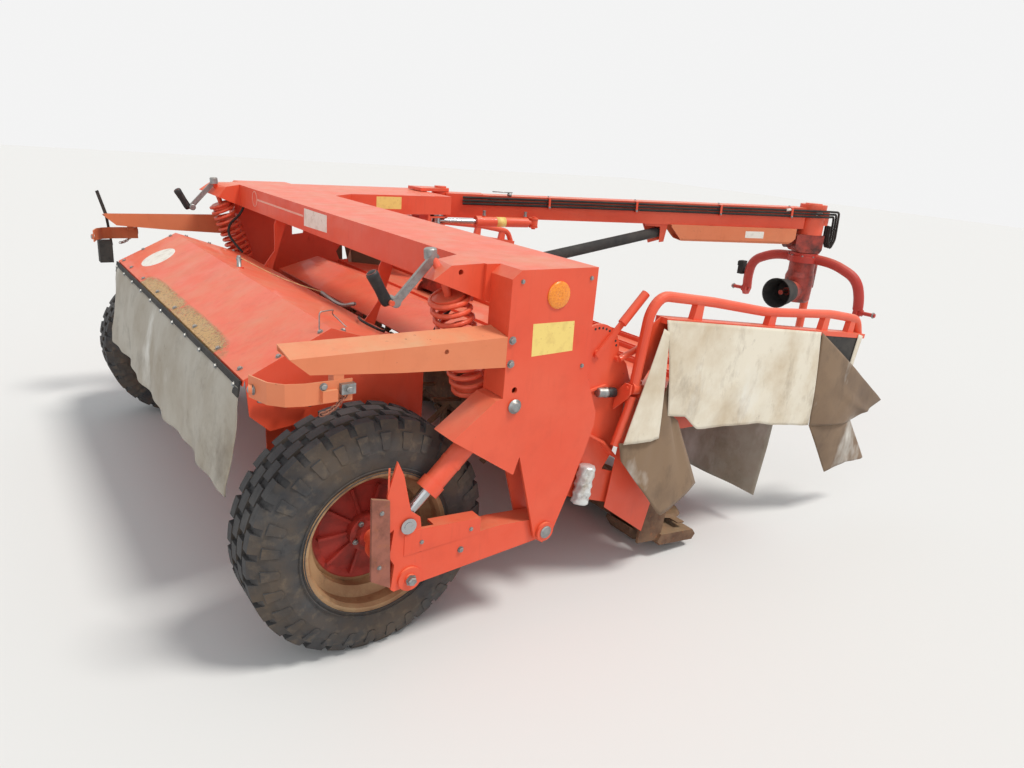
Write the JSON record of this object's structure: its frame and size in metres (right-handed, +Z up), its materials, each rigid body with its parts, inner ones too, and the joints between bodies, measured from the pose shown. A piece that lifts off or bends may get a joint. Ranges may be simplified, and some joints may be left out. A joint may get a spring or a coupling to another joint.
{
  "type": "trailed disc mower conditioner",
  "caption": "Trailed disc mower with finger conditioner: box beam on two end legs, lift wheels on trailing arms, swinging drawbar with swivel hitch, canvas guards and rear swath hood.",
  "frame": {"origin": "on the ground under the middle of the machine's length and width", "axes": "+X forward in the direction of travel, +Y to the machine's left, +Z up"},
  "size_m": [4.7906, 3.024, 1.432],
  "materials": {
    "paint": "satin, sun-bleached",
    "faded": "matt, faded",
    "steel": "galvanised",
    "castings": "greasy",
    "tyre": "dusty",
    "rim": "rusty",
    "canvas": "stained",
    "black_plastic": "matt",
    "hose": "matt",
    "bare_steel": "worn, rusty"
  },
  "bodies": {
    "frame": {"main_beam": "paint", "end_leg_near": "paint", "end_leg_far": "paint", "light_arm_near": "faded", "light_arm_far": "faded", "rear_hood": "paint", "rear_canvas": "canvas", "swath_board_near": "paint", "swath_board_far": "paint", "light_lamp": "paint", "unit_hanger_near": "paint", "unit_hanger_far": "paint", "spring_near": "paint", "spring_far": "paint", "spring_hanger_near": "paint", "spring_hanger_far": "paint", "canopy": "paint", "conditioner_housing": "paint", "cutterbar": "bare_steel", "unit_gearbox": "castings", "front_curtain": "canvas"},
    "wheel_arm_near": {"wheel_arm_near": "paint"},
    "wheel_near": {"tyre_near": "tyre", "rim_near": "rim"},
    "lift_barrel_near": {"lift_barrel_near": "paint"},
    "lift_rod_near": {"lift_rod_near": "steel"},
    "guard_near": {"guard_hoop_near": "paint"},
    "curtain_near": {"side_curtain_near": "canvas"},
    "wheel_arm_far": {"wheel_arm_far": "paint"},
    "wheel_far": {"tyre_far": "tyre", "rim_far": "rim"},
    "lift_barrel_far": {"lift_barrel_far": "paint"},
    "lift_rod_far": {"lift_rod_far": "steel"},
    "guard_far": {"guard_hoop_far": "paint"},
    "curtain_far": {"side_curtain_far": "canvas"},
    "drawbar": {"drawbar": "paint", "shaft_guard": "faded", "upper_gearbox": "castings", "drawbar_hoses": "hose"},
    "swing_barrel": {"swing_barrel": "paint"},
    "swing_rod": {"swing_rod": "steel"},
    "drive_shaft_outer": {"drive_shaft_outer": "black_plastic"},
    "drive_shaft_inner": {"drive_shaft_inner": "black_plastic"},
    "hitch": {"swivel_yoke": "paint", "lower_gearbox": "castings", "shaft_bell": "black_plastic"},
    "parking_stand": {"parking_stand": "paint"},
    "conditioner_rotor": {"conditioner_rotor": "bare_steel"},
    "disc_1": {"disc_1": "bare_steel"},
    "disc_2": {"disc_2": "bare_steel"},
    "disc_3": {"disc_3": "bare_steel"},
    "disc_4": {"disc_4": "bare_steel"},
    "disc_5": {"disc_5": "bare_steel"},
    "disc_6": {"disc_6": "bare_steel"},
    "disc_7": {"disc_7": "bare_steel"}
  },
  "joints": [
    {"name": "wheel_arm_near_lift", "type": "hinge", "parent": "frame", "child": "wheel_arm_near", "pos_m": [-1.3753, -1.44, 0.366], "axis": [0, -1, 0], "range_deg": [0, 30]},
    {"name": "wheel_near_roll", "type": "hinge", "parent": "wheel_arm_near", "child": "wheel_near", "pos_m": [-1.9773, -1.25, 0.418], "axis": [0, 1, 0], "continuous": true},
    {"name": "lift_barrel_near_pivot", "type": "hinge", "parent": "frame", "child": "lift_barrel_near", "pos_m": [-1.5593, -1.44, 0.876], "axis": [0, -1, 0], "range_deg": [0, 16.44]},
    {"name": "lift_rod_near_slide", "type": "slide", "parent": "lift_barrel_near", "child": "lift_rod_near", "axis": [-0.7187, 0, -0.6953], "range_m": [0, 0.2441]},
    {"name": "guard_near_fold", "type": "hinge", "parent": "frame", "child": "guard_near", "pos_m": [-0.85295, -1.47, 0.83734], "axis": [0.9921, 0, -0.1253], "range_deg": [0, 90]},
    {"name": "curtain_near_hang", "type": "hinge", "parent": "guard_near", "child": "curtain_near", "pos_m": [-0.82137, -1.494, 1.08735], "axis": [0.9921, 0, -0.1253], "range_deg": [-90, 0]},
    {"name": "wheel_arm_far_lift", "type": "hinge", "parent": "frame", "child": "wheel_arm_far", "pos_m": [-1.3753, 1.44, 0.366], "axis": [0, -1, 0], "range_deg": [0, 30]},
    {"name": "wheel_far_roll", "type": "hinge", "parent": "wheel_arm_far", "child": "wheel_far", "pos_m": [-1.9773, 1.25, 0.418], "axis": [0, 1, 0], "continuous": true},
    {"name": "lift_barrel_far_pivot", "type": "hinge", "parent": "frame", "child": "lift_barrel_far", "pos_m": [-1.5593, 1.44, 0.876], "axis": [0, -1, 0], "range_deg": [0, 16.44]},
    {"name": "lift_rod_far_slide", "type": "slide", "parent": "lift_barrel_far", "child": "lift_rod_far", "axis": [-0.7187, 0, -0.6953], "range_m": [0, 0.2441]},
    {"name": "guard_far_fold", "type": "hinge", "parent": "frame", "child": "guard_far", "pos_m": [-0.85295, 1.47, 0.83734], "axis": [-0.9921, 0, 0.1253], "range_deg": [0, 90]},
    {"name": "curtain_far_hang", "type": "hinge", "parent": "guard_far", "child": "curtain_far", "pos_m": [-0.82137, 1.494, 1.08735], "axis": [-0.9921, 0, 0.1253], "range_deg": [-90, 0]},
    {"name": "drawbar_swing", "type": "hinge", "parent": "frame", "child": "drawbar", "pos_m": [-0.2853, 1.2, 1.241], "axis": [0, 0, 1], "range_deg": [0, 53]},
    {"name": "swing_barrel_pivot", "type": "hinge", "parent": "drawbar", "child": "swing_barrel", "pos_m": [0.22005, 0.78473, 1.17], "axis": [0, 0, 1], "range_deg": [-15.38, 0]},
    {"name": "swing_rod_slide", "type": "slide", "parent": "swing_barrel", "child": "swing_rod", "axis": [-0.9908, 0.1351, 0], "range_m": [0, 0.2661]},
    {"name": "drive_shaft_joint", "type": "hinge", "parent": "drawbar", "child": "drive_shaft_outer", "pos_m": [1.10731, 0.47506, 1.15], "axis": [0, 0, 1], "range_deg": [-14.64, 0]},
    {"name": "drive_shaft_telescope", "type": "slide", "parent": "drive_shaft_outer", "child": "drive_shaft_inner", "axis": [-0.9884, -0.068, -0.1359], "range_m": [0, 0.6439]},
    {"name": "hitch_swivel", "type": "hinge", "parent": "drawbar", "child": "hitch", "pos_m": [2.14511, -0.06519, 1.04], "axis": [0, 0, 1], "range_deg": [-230, 30]},
    {"name": "stand_slide", "type": "slide", "parent": "hitch", "child": "parking_stand", "axis": [0, 0, 1], "range_m": [0, 0.35]},
    {"name": "rotor_spin", "type": "hinge", "parent": "frame", "child": "conditioner_rotor", "pos_m": [-1.06548, 0, 0.5114], "axis": [0, 1, 0], "continuous": true},
    {"name": "disc_1_spin", "type": "hinge", "parent": "frame", "child": "disc_1", "pos_m": [-0.4793, -1.206, 0.12489], "axis": [0.1253, 0, 0.9921], "continuous": true},
    {"name": "disc_2_spin", "type": "hinge", "parent": "frame", "child": "disc_2", "pos_m": [-0.4793, -0.804, 0.12489], "axis": [0.1253, 0, 0.9921], "continuous": true},
    {"name": "disc_3_spin", "type": "hinge", "parent": "frame", "child": "disc_3", "pos_m": [-0.4793, -0.402, 0.12489], "axis": [0.1253, 0, 0.9921], "continuous": true},
    {"name": "disc_4_spin", "type": "hinge", "parent": "frame", "child": "disc_4", "pos_m": [-0.4793, 0, 0.12489], "axis": [0.1253, 0, 0.9921], "continuous": true},
    {"name": "disc_5_spin", "type": "hinge", "parent": "frame", "child": "disc_5", "pos_m": [-0.4793, 0.402, 0.12489], "axis": [0.1253, 0, 0.9921], "continuous": true},
    {"name": "disc_6_spin", "type": "hinge", "parent": "frame", "child": "disc_6", "pos_m": [-0.4793, 0.804, 0.12489], "axis": [0.1253, 0, 0.9921], "continuous": true},
    {"name": "disc_7_spin", "type": "hinge", "parent": "frame", "child": "disc_7", "pos_m": [-0.4793, 1.206, 0.12489], "axis": [0.1253, 0, 0.9921], "continuous": true}
  ],
  "couplings": [
    {"joint": "lift_barrel_near_pivot", "follows": "wheel_arm_near_lift", "ratio": 0.5478},
    {"joint": "lift_rod_near_slide", "follows": "wheel_arm_near_lift", "m_per_rad": 0.4661},
    {"joint": "curtain_near_hang", "follows": "guard_near_fold", "ratio": -1},
    {"joint": "lift_barrel_far_pivot", "follows": "wheel_arm_far_lift", "ratio": 0.5478},
    {"joint": "lift_rod_far_slide", "follows": "wheel_arm_far_lift", "m_per_rad": 0.4661},
    {"joint": "curtain_far_hang", "follows": "guard_far_fold", "ratio": -1},
    {"joint": "swing_barrel_pivot", "follows": "drawbar_swing", "ratio": -0.29},
    {"joint": "swing_rod_slide", "follows": "drawbar_swing", "m_per_rad": 0.2876},
    {"joint": "drive_shaft_joint", "follows": "drawbar_swing", "ratio": -0.2761},
    {"joint": "drive_shaft_telescope", "follows": "drawbar_swing", "m_per_rad": 0.696},
    {"joint": "disc_2_spin", "follows": "disc_1_spin", "ratio": -1},
    {"joint": "disc_3_spin", "follows": "disc_1_spin", "ratio": 1},
    {"joint": "disc_4_spin", "follows": "disc_1_spin", "ratio": -1},
    {"joint": "disc_5_spin", "follows": "disc_1_spin", "ratio": 1},
    {"joint": "disc_6_spin", "follows": "disc_1_spin", "ratio": -1},
    {"joint": "disc_7_spin", "follows": "disc_1_spin", "ratio": 1}
  ]
}
